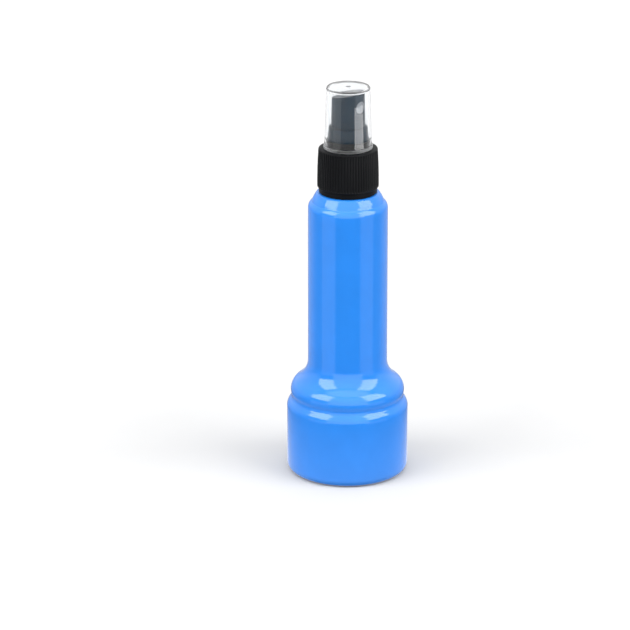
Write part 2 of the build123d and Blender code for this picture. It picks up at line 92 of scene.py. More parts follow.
def arc(centre, radius, first, turn, step=ARC_STEP):
    """Points of an arc, angles in degrees, both ends included."""
    count = max(2, int(abs(turn) / step) + 1)
    angles = [radians(first + turn * i / count) for i in range(count + 1)]
    return [(centre[0] + radius * cos(a), centre[1] + radius * sin(a)) for a in angles]


def angle_to(start, end):
    return degrees(atan2(end[1] - start[1], end[0] - start[0]))


def outer_touch(low, low_reach, high, high_reach):
    """Centre outside the wall that lies low_reach from one centre and high_reach from the other."""
    gap_r = high[0] - low[0]
    gap_z = high[1] - low[1]
    gap = hypot(gap_r, gap_z)
    along = (gap**2 + low_reach**2 - high_reach**2) / (2 * gap)
    across = sqrt(low_reach**2 - along**2)
    r = low[0] + (along * gap_r + across * gap_z) / gap
    z = low[1] + (along * gap_z - across * gap_r) / gap
    return (r, z)


def smooth_wall(circles, start_angle, end_angle, inset):
    """Arcs that touch one another going up a wall. side is 1 where it bulges, -1 where it hollows.

    After a circle with the same side, the next one is the smaller and touches it from inside.
    """
    angles = [start_angle]
    for low, high in zip(circles, circles[1:]):
        angles.append(angle_to(low[0], high[0]))
    angles.append(end_angle)
    points = []
    for number, (centre, radius, side) in enumerate(circles):
        inner_touch = number > 0 and circles[number - 1][2] == side
        first = angles[number] if number == 0 or inner_touch else angles[number] + 180
        turn = (angles[number + 1] - first + 180) % 360 - 180
        points += arc(centre, radius - side * inset, first, turn, 4.0)
    return points


def rounded(corners, closed=True):
    """Polygon of (r, z, radius) corners, each turned into an arc of its own radius."""
    points = []
    count = len(corners)
    for i, (r, z, radius) in enumerate(corners):
        here = Vector((r, z))
        is_end = not closed and i in (0, count - 1)
        if radius == 0 or is_end:
            points.append((r, z))
            continue
        before = Vector(corners[i - 1][:2]) - here
        after = Vector(corners[(i + 1) % count][:2]) - here
        half = before.angle(after) / 2
        reach = min(radius / tan(half), 0.49 * before.length, 0.49 * after.length)
        arc_r = reach * tan(half)
        bisector = (before.normalized() + after.normalized()).normalized()
        centre = here + bisector * (arc_r / sin(half))
        start = here + before.normalized() * reach - centre
        end = here + after.normalized() * reach - centre
        first = degrees(atan2(start.y, start.x))
        turn = (degrees(atan2(end.y, end.x)) - first + 180) % 360 - 180
        points += arc((centre.x, centre.y), arc_r, first, turn, 15.0)
    return points


def spaced(points, longest):
    """The same outline with long straight runs cut into shorter ones."""
    result = [points[0]]
    for start, end in zip(points, points[1:]):
        length = hypot(end[0] - start[0], end[1] - start[1])
        parts = max(1, int(length / longest))
        for i in range(1, parts + 1):
            share = i / parts
            result.append(
                (start[0] + (end[0] - start[0]) * share, start[1] + (end[1] - start[1]) * share)
            )
    return result


# ---------------------------------------------------------------------------------------------
# Mesh builders
# ---------------------------------------------------------------------------------------------
SHARP_ANGLE = radians(32)
AXIS_R = 1e-6


def new_object(name, vertices, faces):
    """Mesh object in metres from millimetre vertices, smooth with sharp edges where it turns."""
    mesh = bpy.data.meshes.new(name)
    mesh.from_pydata((np.asarray(vertices, float) * MM).tolist(), [], faces)
    mesh.validate()
    mesh.shade_smooth()
    mesh.set_sharp_from_angle(angle=SHARP_ANGLE)
    obj = bpy.data.objects.new(name, mesh)
    scene.collection.objects.link(obj)
    return obj


def lathe(name, outline, segments, warp=None):
    """Turns a half section about Z. Points on the axis become poles; any other outline is closed.

    The outline runs anticlockwise round the material: up the outside and down the inside.
    warp(r, z, angles) may move each ring, and gives back radii, heights and angles.
    """
    angles = 2 * pi * np.arange(segments) / segments
    vertices, rings = [], []
    for r, z in outline:
        if r < AXIS_R:
            rings.append([len(vertices)])
            height = z
            if warp:
                height = float(np.mean(warp(np.zeros(1), np.full(1, z), np.zeros(1))[1]))
            vertices.append((0.0, 0.0, height))
            continue
        radii = np.full(segments, r)
        heights = np.full(segments, z)
        turned = angles
        if warp:
            radii, heights, turned = warp(radii, heights, angles)
        rings.append(list(range(len(vertices), len(vertices) + segments)))
        vertices += list(zip(radii * np.cos(turned), radii * np.sin(turned), heights))
    on_axis = outline[0][0] < AXIS_R and outline[-1][0] < AXIS_R
    pairs = list(zip(rings, rings[1:]))
    if not on_axis:
        pairs.append((rings[-1], rings[0]))
    faces = []
    for low, high in pairs:
        for i in range(segments):
            j = (i + 1) % segments
            if len(low) == 1:
                faces.append((low[0], high[j], high[i]))
            elif len(high) == 1:
                faces.append((low[i], low[j], high[0]))
            else:
                faces.append((low[i], low[j], high[j], high[i]))
    return new_object(name, vertices, faces)


def coil(name, path, section):
    """Closed bar along a path that runs anticlockwise up the Z axis.

    The section is anticlockwise, with x pointing away from the axis and y up.
    """
    vertices, faces = [], []
    count = len(section)
    for x, y, z in path:
        reach = hypot(x, y)
        for out, up in section:
            vertices.append((x * (1 + out / reach), y * (1 + out / reach), z + up))
    for step in range(len(path) - 1):
        here = step * count
        there = here + count
        for i in range(count):
            j = (i + 1) % count
            faces.append((here + i, there + i, there + j, here + j))
    faces.append(tuple(range(count)))
    last = (len(path) - 1) * count
    faces.append(tuple(reversed(range(last, last + count))))
    return new_object(name, vertices, faces)


def cut_away(obj, cutter):
    """Cuts one closed mesh out of another and keeps the result as plain mesh."""
    modifier = obj.modifiers.new("cut", "BOOLEAN")
    modifier.operation = "DIFFERENCE"
    modifier.solver = "EXACT"
    modifier.object = cutter
    bpy.context.view_layer.update()
    graph = bpy.context.evaluated_depsgraph_get()
    mesh = bpy.data.meshes.new_from_object(obj.evaluated_get(graph))
    obj.modifiers.clear()
    obj.data = mesh
    mesh.shade_smooth()
    mesh.set_sharp_from_angle(angle=SHARP_ANGLE)
    bpy.data.objects.remove(cutter)


# ---------------------------------------------------------------------------------------------
# Materials
# ---------------------------------------------------------------------------------------------
class Recipe:
    """A Principled material with short calls for the nodes that these plastics share."""

    def __init__(self, name, colour, roughness):
        self.material = bpy.data.materials.new(name)
        self.material.use_nodes = True
        self.nodes = self.material.node_tree.nodes
        self.links = self.material.node_tree.links
        self.shader = self.nodes["Principled BSDF"]
        self.shader.inputs["Base Color"].default_value = (*colour, 1)
        self.shader.inputs["Roughness"].default_value = roughness
        self.place = self.nodes.new("ShaderNodeTexCoord").outputs["Object"]

    def link(self, source, target):
        self.links.new(source, target)

    def set(self, **values):
        for key, value in values.items():
            self.shader.inputs[key.replace("_", " ")].default_value = value

    def noise(self, size_mm, detail=3.0, roughness=0.5, stretch=(1, 1, 1)):
        """Noise whose blobs are about size_mm across, from 0 to 1."""
        mapping = self.nodes.new("ShaderNodeMapping")
        mapping.inputs["Scale"].default_value = stretch
        self.link(self.place, mapping.inputs["Vector"])
        node = self.nodes.new("ShaderNodeTexNoise")
        node.inputs["Scale"].default_value = 1 / (size_mm * MM)
        node.inputs["Detail"].default_value = detail
        node.inputs["Roughness"].default_value = roughness
        self.link(mapping.outputs["Vector"], node.inputs["Vector"])
        return node.outputs["Fac"]

    def height(self):
        """Height above the foot, in metres."""
        split = self.nodes.new("ShaderNodeSeparateXYZ")
        self.link(self.place, split.inputs["Vector"])
        return split.outputs["Z"]

    def plus(self, first, second):
        node = self.nodes.new("ShaderNodeMath")
        self.link(first, node.inputs[0])
        self.link(second, node.inputs[1])
        return node.outputs["Value"]

    def remap(self, source, low, high, new_low, new_high):
        node = self.nodes.new("ShaderNodeMapRange")
        node.inputs["From Min"].default_value = low
        node.inputs["From Max"].default_value = high
        node.inputs["To Min"].default_value = new_low
        node.inputs["To Max"].default_value = new_high
        self.link(source, node.inputs["Value"])
        return node.outputs["Result"]

    def vary_colour(self, source, dark, light, low=0.3, high=0.7):
        ramp = self.nodes.new("ShaderNodeValToRGB")
        ramp.color_ramp.elements[0].position = low
        ramp.color_ramp.elements[0].color = (*dark, 1)
        ramp.color_ramp.elements[1].position = high
        ramp.color_ramp.elements[1].color = (*light, 1)
        self.link(source, ramp.inputs["Fac"])
        self.link(ramp.outputs["Color"], self.shader.inputs["Base Color"])

    def vary_roughness(self, source, low, high):
        self.link(self.remap(source, 0.25, 0.75, low, high), self.shader.inputs["Roughness"])

    def bump(self, *layers):
        """Stacks bump layers, each (height source, depth in mm)."""
        previous = None
        for source, depth_mm in layers:
            node = self.nodes.new("ShaderNodeBump")
            node.inputs["Strength"].default_value = 1.0
            node.inputs["Distance"].default_value = depth_mm * MM
            self.link(source, node.inputs["Height"])
            if previous:
                self.link(previous, node.inputs["Normal"])
            previous = node.outputs["Normal"]
        self.link(previous, self.shader.inputs["Normal"])


def scaled(colour, factor):
    return tuple(channel * factor for channel in colour)


def moulded(name, colour, roughness, spread=0.05, grain_mm=0.25, grain_depth=0.002, wave_depth=0.004):
    """Moulded plastic: slightly uneven colour and gloss, fine grain and slow mould waves."""
    recipe = Recipe(name, colour, roughness)
    slow = recipe.noise(9.0, 2.0)
    recipe.vary_colour(slow, scaled(colour, 1 - spread), scaled(colour, 1 + spread))
    recipe.vary_roughness(recipe.noise(2.5, 4.0), roughness * 0.85, roughness * 1.2)
    recipe.bump((recipe.noise(grain_mm, 2.0), grain_depth), (slow, wave_depth))
    return recipe


def bottle_material():
    blue = (0.014, 0.156, 0.535)
    recipe = moulded("blue_gloss", blue, 0.12, spread=0.03, grain_mm=0.5, grain_depth=0.0006)
    recipe.set(IOR=1.5)
    return recipe.material


def closure_material():
    black = (0.003, 0.0034, 0.0042)
    recipe = moulded("closure_black", black, 0.45, 0.1, 0.18, grain_depth=0.003, wave_depth=0.003)
    recipe.set(IOR=1.48, Specular_IOR_Level=0.10)
    return recipe.material


def actuator_material():
    slate = (0.006, 0.026, 0.048)
    recipe = moulded("actuator_slate", slate, 0.30, 0.08, 0.2, grain_depth=0.0015, wave_depth=0.003)
    recipe.set(IOR=1.48, Specular_IOR_Level=0.2)
    return recipe.material


def nozzle_material():
    grey = (0.33, 0.355, 0.385)
    recipe = moulded("nozzle_grey", grey, 0.35, grain_mm=0.15, grain_depth=0.001, wave_depth=0.002)
    return recipe.material


def hood_material():
    """Clear plastic, polished except on its foot rim and on the rounded edge of its top."""
    recipe = Recipe("clear_hood", (0.97, 0.985, 1.0), 0.02)
    recipe.set(IOR=1.49, Transmission_Weight=1.0)
    polish = recipe.remap(recipe.noise(3.0, 5.0), 0.25, 0.75, 0.005, 0.03)
    height = recipe.height()
    rim = recipe.remap(height, HOOD_RIM_TOP_Z * MM, (HOOD_RIM_TOP_Z + 0.4) * MM, 0.5, 0.0)
    edge_starts = recipe.remap(height, (HOOD_TOP_Z - 0.7) * MM, (HOOD_TOP_Z - 0.5) * MM, 0.0, 0.4)
    edge_ends = recipe.remap(height, (HOOD_TOP_Z - 0.08) * MM, (HOOD_TOP_Z - 0.02) * MM, 0.0, -0.4)
    total = polish
    for layer in (rim, edge_starts, edge_ends):
        total = recipe.plus(total, layer)
    recipe.link(total, recipe.shader.inputs["Roughness"])
    recipe.bump((recipe.noise(7.0, 1.0), 0.006))
    return recipe.material


def natural_material(name, colour, roughness=0.4, through=0.0):
    recipe = moulded(name, colour, roughness, spread=0.03, grain_mm=0.3, wave_depth=0.003)
    recipe.set(Subsurface_Weight=0.3, Subsurface_Scale=0.001, Transmission_Weight=through)
    return recipe.material


def rubber_material(name, colour):
    recipe = moulded(name, colour, 0.7, 0.1, 0.12, grain_depth=0.006, wave_depth=0.01)
    return recipe.material


def steel_material():
    recipe = Recipe("bright_steel", (0.62, 0.63, 0.65), 0.22)
    recipe.set(Metallic=1.0)
    drawn = recipe.noise(0.12, 3.0)
    recipe.vary_colour(drawn, (0.54, 0.55, 0.57), (0.68, 0.69, 0.71))
    recipe.vary_roughness(drawn, 0.15, 0.32)
    recipe.bump((drawn, 0.002))
    return recipe.material


def fluid_material():
    recipe = Recipe("cleaning_fluid", (0.80, 0.92, 0.98), 0.02)
    recipe.set(IOR=1.34, Transmission_Weight=1.0)
    recipe.vary_roughness(recipe.noise(12.0, 1.0), 0.0, 0.03)
    return recipe.material


def assign(obj, material):
    obj.data.materials.clear()
    obj.data.materials.append(material)


# ---------------------------------------------------------------------------------------------
# Bottle
# ---------------------------------------------------------------------------------------------
WALL = 1.0
FOOT_R = 22.9
FOOT_CORNER_R = 3.0
PUSH_UP = 3.0
STAND_RING_R = 17.0
FOOT_EDGE = ((FOOT_R - 4.6, 25.2), 4.6)
GROOVE_R = 2.2
BULGE = ((16.27, 32.0), 5.2)
FLARE_R = 9.2
BARREL_R = 15.0
RIM = ((BARREL_R - 3.3, 104.1), 3.3)
STEP_R = 0.5
CROWN = ((2.27, 102.8), 12.0)
LANDING_Z = 110.3
LANDING_EDGE_R = 1.3
NECK_R = 8.8
NECK_BORE_R = 7.2
NECK_ROOT_R = 0.6
LIP_Z = 123.6
LIP_EDGE_R = 0.35
BOTTLE_SEGMENTS = 256
THREAD_PITCH = 25.4 / 8
THREAD_TURNS = 1.5
THREAD_FADE_TURNS = 0.12
THREAD_DEPTH = 1.08
THREAD_RING_GAP = 0.16
BORE_RING_GAP = 0.2
NECK_THREAD_Z = 115.9
NECK_THREAD_WIDTHS = (2.2, 0.9)
CLOSURE_THREAD_Z = NECK_THREAD_Z - 1.42
CLOSURE_THREAD_WIDTHS = (1.7, 0.6)
PARTING_LINE_H = 0.04
PARTING_LINE_W = radians(0.9)


def bottle_circles():
    groove = outer_touch(FOOT_EDGE[0], FOOT_EDGE[1] + GROOVE_R, BULGE[0], BULGE[1] + GROOVE_R)
    flare_gap = BARREL_R + FLARE_R - BULGE[0][0]
    flare_z = BULGE[0][1] + sqrt((BULGE[1] + FLARE_R) ** 2 - flare_gap**2)
    step = outer_touch(RIM[0], RIM[1] + STEP_R, CROWN[0], CROWN[1] + STEP_R)
    edge_rise = LANDING_Z - LANDING_EDGE_R - CROWN[0][1]
    edge_run = sqrt((CROWN[1] - LANDING_EDGE_R) ** 2 - edge_rise**2)
    edge = (CROWN[0][0] + edge_run, CROWN[0][1] + edge_rise)
    lower = [
        (*FOOT_EDGE, 1),
        (groove, GROOVE_R, -1),
        (*BULGE, 1),
        ((BARREL_R + FLARE_R, flare_z), FLARE_R, -1),
    ]
    upper = [(*RIM, 1), (step, STEP_R, -1), (*CROWN, 1), (edge, LANDING_EDGE_R, 1)]
    return lower, upper


def foot_outline(inset):
    """From the middle of the pushed-up foot out to the wall."""
    dome_r = (STAND_RING_R**2 + PUSH_UP**2) / (2 * PUSH_UP)
    dome_z = PUSH_UP - dome_r
    dome_r += inset
    ring_r = sqrt(dome_r**2 - (inset - dome_z) ** 2)
    ring_angle = degrees(atan2(inset - dome_z, ring_r))
    corner = (FOOT_R - FOOT_CORNER_R, FOOT_CORNER_R)
    dome = arc((0, dome_z), dome_r, 90, ring_angle - 90, 2.0)
    return dome + arc(corner, FOOT_CORNER_R - inset, -90, 90)


def ridge_height(heights, angles, start_z, root_w, crest_w):
    """How far a right-hand thread stands up, from 0 to 1, at each height and angle of its wall."""
    share = np.zeros_like(heights)
    for whole_turns in range(2):
        turn = np.mod(angles, 2 * pi) / (2 * pi) + whole_turns
        away = np.abs(heights - start_z - THREAD_PITCH * turn)
        flank = np.clip((root_w / 2 - away) / ((root_w - crest_w) / 2), 0, 1)
        fade = np.clip(np.minimum(turn, THREAD_TURNS - turn) / THREAD_FADE_TURNS, 0, 1)
        share = np.maximum(share, flank * fade)
    return share


def bottle_surface(r, z, angles):
    """Adds the thread of the neck, and the faint line left where the two mould halves met."""
    is_neck_wall = r[0] == NECK_R
    if is_neck_wall:
        r = r + THREAD_DEPTH * ridge_height(z, angles, NECK_THREAD_Z, *NECK_THREAD_WIDTHS)
    is_near_axis = r[0] <= NECK_BORE_R
    if is_near_axis:
        return r, z, angles
    away = np.abs(np.mod(angles + pi / 2, pi) - pi / 2)
    return r + PARTING_LINE_H * np.exp(-((away / PARTING_LINE_W) ** 2)), z, angles


def make_bottle():
    lower, upper = bottle_circles()
    root = (NECK_R + NECK_ROOT_R, LANDING_Z + NECK_ROOT_R)
    outside = foot_outline(0) + smooth_wall(lower, 0, 180, 0) + smooth_wall(upper, 0, 90, 0)
    outside += arc(root, NECK_ROOT_R, -90, -90, 15.0)
    neck = spaced([(NECK_R, root[1]), (NECK_R, LIP_Z - LIP_EDGE_R)], THREAD_RING_GAP)
    lip = arc((NECK_R - LIP_EDGE_R, LIP_Z - LIP_EDGE_R), LIP_EDGE_R, 0, 90, 15.0)
    lip += arc((NECK_BORE_R + LIP_EDGE_R, LIP_Z - LIP_EDGE_R), LIP_EDGE_R, 90, 90, 15.0)
    inside = foot_outline(WALL) + smooth_wall(lower, 0, 180, WALL) + smooth_wall(upper, 0, 90, WALL)
    inside += [(NECK_BORE_R, LANDING_Z - WALL)]
    outline = spaced(outside, 4.0) + neck[1:] + lip[1:] + spaced(inside[::-1], 4.0)
    bottle = lathe("bottle_shell", outline, BOTTLE_SEGMENTS, bottle_surface)
    assign(bottle, bottle_material())
    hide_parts("bottle")
    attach(bottle, "bottle")


make_bottle()

# ---------------------------------------------------------------------------------------------
# Screw closure
# ---------------------------------------------------------------------------------------------
RIB_COUNT = 66
RIB_SAMPLES = 10
RIB_DEPTH = 0.26
RIB_LOW_Z = 113.1
RIB_HIGH_Z = 127.0
RIB_FADE = 0.4
CLOSURE_FOOT_Z = 110.4
CLOSURE_FOOT_R = 10.95
CLOSURE_EDGE = 0.25
BORE_EDGE = 0.15
SKIRT_LOW_Z = 112.5
SKIRT_WIDE_R = 11.51
SKIRT_WIDE_Z = 114.2
SKIRT_CURVE_R = 190.0
SKIRT_TOP_Z = 127.0
LEDGE = (11.0, 127.2)
DECK_R = 9.6
DECK_Z = 127.6
CLOSURE_BORE_R = 10.2
CLOSURE_BORE_TOP_Z = 126.3
FLANGE_ROOM_R = 9.1
FLANGE_TOP_Z = 125.42
RING_R = 8.3
RING_BORE_R = 7.75
RING_TOP_Z = 131.0
FLOOR_Z = 126.6
FLOOR_HOLE_R = 5.4


def skirt_r(z):
    """Radius of the closure's skirt, widest near its foot and curving in very gently above."""
    return SKIRT_WIDE_R - SKIRT_CURVE_R + sqrt(SKIRT_CURVE_R**2 - (z - SKIRT_WIDE_Z) ** 2)


def closure_surface(r, z, angles):
    """Adds rounded ribs with narrow grooves between them outside, and the thread inside."""
    height = z[0]
    if r[0] == CLOSURE_BORE_R:
        ridge = ridge_height(z, angles, CLOSURE_THREAD_Z, *CLOSURE_THREAD_WIDTHS)
        return r - THREAD_DEPTH * ridge, z, angles
    if r[0] < LEDGE[0]:
        return r, z, angles
    run_out = np.clip(min(height - RIB_LOW_Z, RIB_HIGH_Z - height) / RIB_FADE + 0.5, 0, 1)
    wave = np.abs(np.sin(angles * RIB_COUNT / 2))
    return r - RIB_DEPTH * run_out * (1 - wave**0.7), z, angles


def skirt_outline():
    """Outside of the skirt, with rings close together where the ribs run out."""
    heights = [SKIRT_LOW_Z + CLOSURE_EDGE]
    heights += [RIB_LOW_Z + RIB_FADE * (i / 4 - 0.5) for i in range(5)]
    heights += [RIB_LOW_Z + (RIB_HIGH_Z - RIB_LOW_Z) * i / 8 for i in range(1, 8)]
    heights += [RIB_HIGH_Z + RIB_FADE * (i / 4 - 0.5) for i in range(3)]
    return [(skirt_r(z), z) for z in heights]


def make_closure():
    foot = rounded(
        [
            (CLOSURE_BORE_R + BORE_EDGE, CLOSURE_FOOT_Z, 0),
            (CLOSURE_FOOT_R, CLOSURE_FOOT_Z, CLOSURE_EDGE),
            (CLOSURE_FOOT_R, SKIRT_LOW_Z, 0.1),
            (skirt_r(SKIRT_LOW_Z) - CLOSURE_EDGE, SKIRT_LOW_Z, 0),
        ],
        False,
    )
    edge_drop = DECK_Z - LEDGE[1]
    edge_r = ((LEDGE[0] - DECK_R) ** 2 + edge_drop**2) / (2 * edge_drop)
    edge_centre = (DECK_R, DECK_Z - edge_r)
    edge_angle = angle_to(edge_centre, LEDGE)
    deck = arc(edge_centre, edge_r, edge_angle, 90 - edge_angle, 6.0)
    hub = rounded(
        [
            (DECK_R, DECK_Z, 0),
            (RING_R, DECK_Z, 0.12),
            (RING_R, RING_TOP_Z, 0.2),
            (RING_BORE_R, RING_TOP_Z, 0.12),
            (RING_BORE_R, FLOOR_Z, 0.2),
            (FLOOR_HOLE_R, FLOOR_Z, 0.15),
            (FLOOR_HOLE_R, FLANGE_TOP_Z, 0.1),
            (FLANGE_ROOM_R, FLANGE_TOP_Z, 0.1),
            (FLANGE_ROOM_R, CLOSURE_BORE_TOP_Z, 0.1),
            (CLOSURE_BORE_R, CLOSURE_BORE_TOP_Z, 0),
        ],
        False,
    )
    bore_low_z = CLOSURE_FOOT_Z + BORE_EDGE
    bore = spaced([(CLOSURE_BORE_R, CLOSURE_BORE_TOP_Z), (CLOSURE_BORE_R, bore_low_z)], BORE_RING_GAP)
    outline = foot + skirt_outline() + [(skirt_r(SKIRT_TOP_Z), SKIRT_TOP_Z)] + deck + hub[1:] + bore[1:]
    closure = lathe("ribbed_closure", outline, RIB_COUNT * RIB_SAMPLES, closure_surface)
    assign(closure, closure_material())
    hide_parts("screw_closure")
    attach(closure, "closure")


make_closure()

# ---------------------------------------------------------------------------------------------
# Actuator and nozzle insert
# ---------------------------------------------------------------------------------------------
NOZZLE_Z = 144.0
NOZZLE_R = 2.35
NOZZLE_FACE = 5.82
NOZZLE_GAP = 0.02
POCKET_BACK = 2.6
POST_R = 1.1
POST_END = 4.2
STEM_SOCKET_R = 2.04
STEM_SOCKET_TOP_Z = 139.22
CEILING_Z = 133.4
BOSS_R = 3.2
CORE_R = 5.2
CORE_TOP_Z = 140.2
HEAD_SKIRT_BORE_R = 6.65
HEAD_SKIRT_LOW = (7.6, 130.6)
HEAD_SKIRT_TOP = (7.2, 135.9)
HEAD_LOW_R = 6.3
HEAD_LOW_Z = 136.3
HEAD_DRAFT = 0.25 / 14.7
PAD_BACK_Z = 146.8
PAD_FRONT_Z = 149.2
PAD_REACH = 6.05
PAD_EDGE_R = 0.45
PAD_MID_Z = (PAD_BACK_Z + PAD_FRONT_Z) / 2
PAD_DISH_R = 25.0
PAD_DISH_DEPTH = 0.45
DISH_EDGE = 0.12
HEAD_BEND_Z = 141.5


def head_shape(r, z, angles):
    """Tilts the flat top of the head to the back and sinks a shallow dish in it."""
    share = np.clip((z - HEAD_BEND_Z) / (PAD_MID_Z - HEAD_BEND_Z), 0, None)
    tilt = (PAD_BACK_Z - PAD_FRONT_Z) / (2 * PAD_REACH)
    dish = 0.0
    if z[0] == PAD_MID_Z:
        dish = np.clip(np.sqrt(PAD_DISH_R**2 - r**2) - PAD_DISH_R + PAD_DISH_DEPTH, 0, None)
    return r, z + share * tilt * r * np.sin(angles) - dish, angles


def pointed_forward(obj):
    """Lays a piece that was turned about Z along -Y, at the nozzle's height, with its top outwards."""
    turn = Matrix.Translation((0, 0, NOZZLE_Z * MM)) @ Matrix.Rotation(pi / 2, 4, "X")
    obj.data.transform(turn)
    return obj


def make_actuator():
    dish_r = sqrt(PAD_DISH_R**2 - (PAD_DISH_R - PAD_DISH_DEPTH) ** 2)
    head_top_r = HEAD_LOW_R - HEAD_DRAFT * (PAD_MID_Z - HEAD_LOW_Z)
    outline = rounded(
        [
            (0.0, STEM_SOCKET_TOP_Z, 0),
            (STEM_SOCKET_R, STEM_SOCKET_TOP_Z, 0),
            (STEM_SOCKET_R, CEILING_Z, 0.2),
            (BOSS_R, CEILING_Z, 0.2),
            (BOSS_R, CORE_TOP_Z, 0.3),
            (CORE_R, CORE_TOP_Z, 0.3),
            (CORE_R, CEILING_Z, 0.2),
            (HEAD_SKIRT_BORE_R, CEILING_Z, 0.2),
            (HEAD_SKIRT_BORE_R, HEAD_SKIRT_LOW[1], 0.1),
            (*HEAD_SKIRT_LOW, 0.15),
            (*HEAD_SKIRT_TOP, 0.15),
            (HEAD_LOW_R, HEAD_LOW_Z, 0.12),
            (head_top_r, PAD_MID_Z, PAD_EDGE_R),
            (dish_r + DISH_EDGE, PAD_MID_Z, 0),
            (dish_r, PAD_MID_Z, 0),
            (dish_r - DISH_EDGE, PAD_MID_Z, 0),
            (0.0, PAD_MID_Z, 0),
        ],
        False,
    )
    head = lathe("actuator_head", spaced(outline, 0.7), 160, head_shape)
    pocket = rounded(
        [
            (0.0, POST_END, 0),
            (POST_R, POST_END, 0),
            (POST_R, POCKET_BACK, 0),
            (NOZZLE_R, POCKET_BACK, 0),
            (NOZZLE_R, 5.55, 0),
            (NOZZLE_R + 0.12, 6.4, 0),
            (NOZZLE_R + 0.12, 8.0, 0),
            (0.0, 8.0, 0),
        ],
        False,
    )
    cut_away(head, pointed_forward(lathe("nozzle_pocket", pocket, 96)))
    assign(head, actuator_material())
    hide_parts("actuator")
    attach(head, "actuator")


def make_nozzle():
    face = NOZZLE_FACE
    outline = rounded(
        [
            (POST_R + NOZZLE_GAP, POCKET_BACK + 0.05, 0.1),
            (NOZZLE_R - NOZZLE_GAP, POCKET_BACK + 0.05, 0.15),
            (NOZZLE_R - NOZZLE_GAP, face, 0.18),
            (1.75, face, 0.08),
            (1.6, face - 0.22, 0.08),
            (0.95, face - 0.22, 0.05),
            (0.75, face - 0.1, 0.05),
            (0.16, face - 0.5, 0.03),
            (0.16, face - 0.8, 0.0),
            (POST_R + NOZZLE_GAP, face - 0.8, 0.0),
        ]
    )
    nozzle = pointed_forward(lathe("spray_insert", outline, 96))
    assign(nozzle, nozzle_material())
    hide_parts("nozzle_insert")
    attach(nozzle, "actuator")


make_actuator()
make_nozzle()

# ---------------------------------------------------------------------------------------------
# Clear overcap
# ---------------------------------------------------------------------------------------------


HOOD_TOP_Z = 151.0
HOOD_TOP_T = 0.8
HOOD_TOP_R = 8.15
HOOD_LOW_R = 8.92
HOOD_LOW_Z = 127.64
HOOD_RIM_R = 9.25
HOOD_RIM_TOP_Z = 128.52
HOOD_RIM_TAPER = 0.3
HOOD_GRIP_R = 8.35
HOOD_GRIP_TOP_Z = 131.5
HOOD_BORE_LOW = (8.1, 131.8)
HOOD_BORE_TOP_R = 7.4
GATE_R = 0.9
GATE_DEPTH = 0.1


def make_hood():
    outline = rounded(
        [
            (0.0, HOOD_TOP_Z - HOOD_TOP_T, 0),
            (HOOD_BORE_TOP_R, HOOD_TOP_Z - HOOD_TOP_T, 0.5),
            (*HOOD_BORE_LOW, 0.3),
            (HOOD_GRIP_R, HOOD_GRIP_TOP_Z, 0.1),
            (HOOD_GRIP_R, HOOD_LOW_Z, 0.12),
            (HOOD_RIM_R, HOOD_LOW_Z, 0.2),
            (HOOD_RIM_R, HOOD_RIM_TOP_Z, 0.15),
            (HOOD_LOW_R, HOOD_RIM_TOP_Z + HOOD_RIM_TAPER, 0.15),
            (HOOD_TOP_R, HOOD_TOP_Z, 0.5),
            (GATE_R, HOOD_TOP_Z, 0.05),
            (GATE_R - 0.1, HOOD_TOP_Z - GATE_DEPTH, 0.05),
            (0.0, HOOD_TOP_Z - GATE_DEPTH, 0),
        ],
        False,
    )
    hood = lathe("clear_overcap", spaced(outline, 1.5), 160)
    assign(hood, hood_material())
    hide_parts("overcap")
    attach(hood, "overcap")


make_hood()

# ---------------------------------------------------------------------------------------------
# Return spring with closed end coils
# ---------------------------------------------------------------------------------------------


SPRING_MEAN_R = 2.35
SPRING_WIRE_R = 0.25


def make_spring():
    low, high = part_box("return_spring")
    low_z = low.z / MM + SPRING_WIRE_R
    height = (high.z - low.z) / MM
    rise = height - 2 * SPRING_WIRE_R
    turns, closed_turns = 9.0, 0.9
    steps, sides = 400, 12
    closed_pitch = 2.1 * SPRING_WIRE_R
    closed_rise = closed_turns * closed_pitch
    path = []
    for i in range(steps + 1):
        turn = turns * i / steps
        if turn < closed_turns:
            lift = closed_rise * turn / closed_turns
        elif turn > turns - closed_turns:
            lift = rise - closed_rise * (turns - turn) / closed_turns
        else:
            share = (turn - closed_turns) / (turns - 2 * closed_turns)
            lift = closed_rise + (rise - 2 * closed_rise) * share
        angle = 2 * pi * turn
        path.append((SPRING_MEAN_R * cos(angle), SPRING_MEAN_R * sin(angle), low_z + lift))
    section = arc((0, 0), SPRING_WIRE_R, 0, 360 - 360 / sides, 360 / sides)
    spring = coil("coil_spring", path, section)
    assign(spring, steel_material())
    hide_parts("return_spring")
    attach(spring, "pump")
    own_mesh(spring)


make_spring()

# ---------------------------------------------------------------------------------------------
# Inner CAD pieces keep their shape and get their own finishes
# ---------------------------------------------------------------------------------------------
INNER_FINISHES = {
    "cleaning_fluid": fluid_material(),
    "neck_gasket": rubber_material("gasket_foam", (0.75, 0.75, 0.72)),
    "pump_housing": natural_material("housing_natural", (0.74, 0.76, 0.76)),
    "dip_tube": natural_material("tube_clear", (0.80, 0.84, 0.86), 0.25, 0.6),
    "inlet_ball": steel_material(),
    "stem_seal": rubber_material("seal_black", (0.02, 0.02, 0.02)),
    "housing_collar": natural_material("collar_natural", (0.72, 0.74, 0.74)),
    "stem": natural_material("stem_natural", (0.80, 0.81, 0.80)),
    "spindle": natural_material("spindle_natural", (0.78, 0.79, 0.78)),
    "piston": natural_material("piston_white", (0.84, 0.84, 0.82), 0.5),
}
for node, finish in INNER_FINISHES.items():
    assign(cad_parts[node], finish)

# ---------------------------------------------------------------------------------------------
# Floor and studio light
# ---------------------------------------------------------------------------------------------


